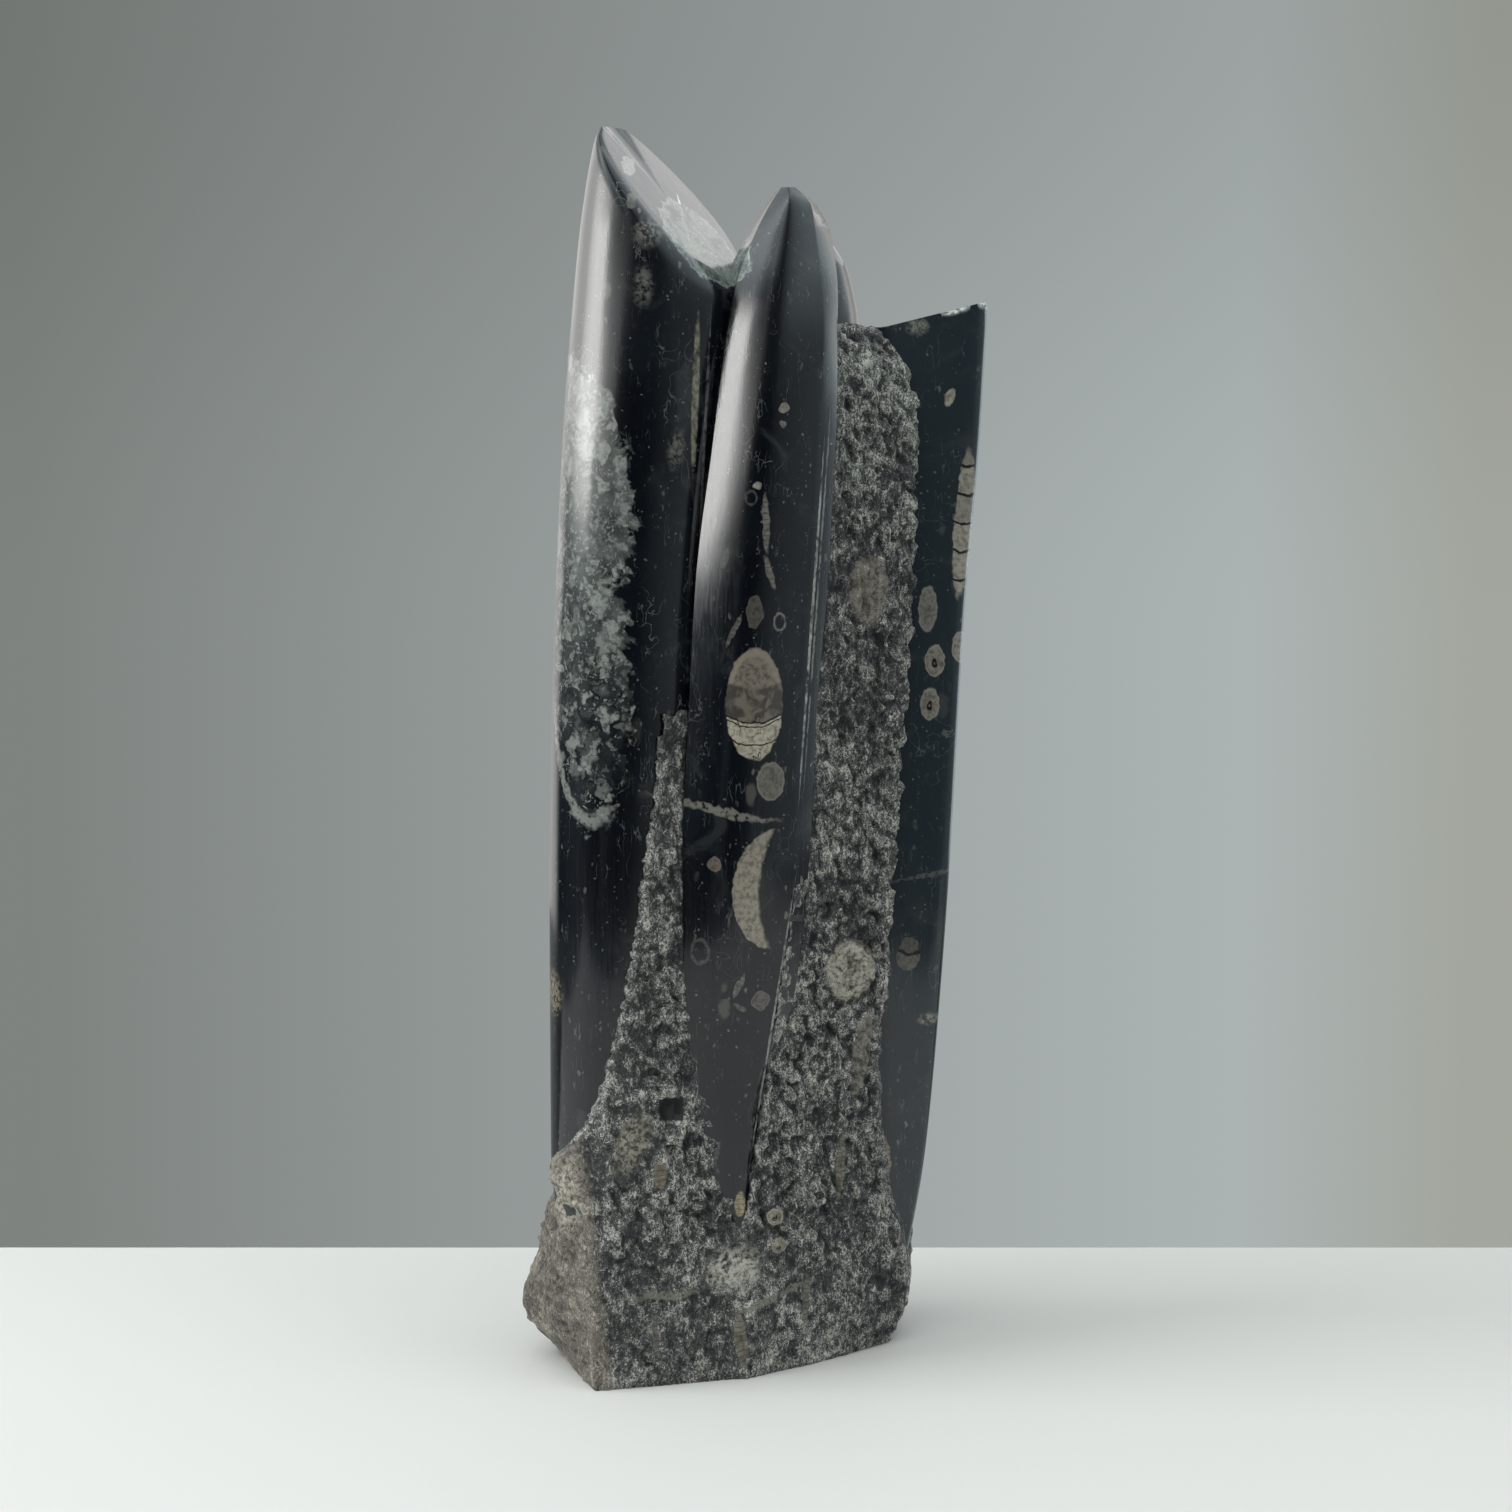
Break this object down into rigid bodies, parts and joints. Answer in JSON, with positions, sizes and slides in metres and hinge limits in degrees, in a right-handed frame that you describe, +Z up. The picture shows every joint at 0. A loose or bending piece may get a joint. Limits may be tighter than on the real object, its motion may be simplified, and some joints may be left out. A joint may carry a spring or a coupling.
{
  "type": "orthoceras fossil tower",
  "caption": "Free-standing display tower of black fossil limestone: polished spires with orthoceras sections, rough pecked matrix, flat sawn base.",
  "frame": {"origin": "under the middle of the stone's bounding box, at the level of the flat sawn base", "axes": "+Z up along the spires, +X to the right seen from the carved front, -Y out of the carved front"},
  "size_m": [0.1452, 0.0903, 0.38],
  "materials": {
    "black_limestone": "mirror-polished spires with grey and cream fossil sections, rough pecked matrix between them"
  },
  "bodies": {
    "root": {"fossil_stone": "black_limestone"}
  },
  "joints": []
}
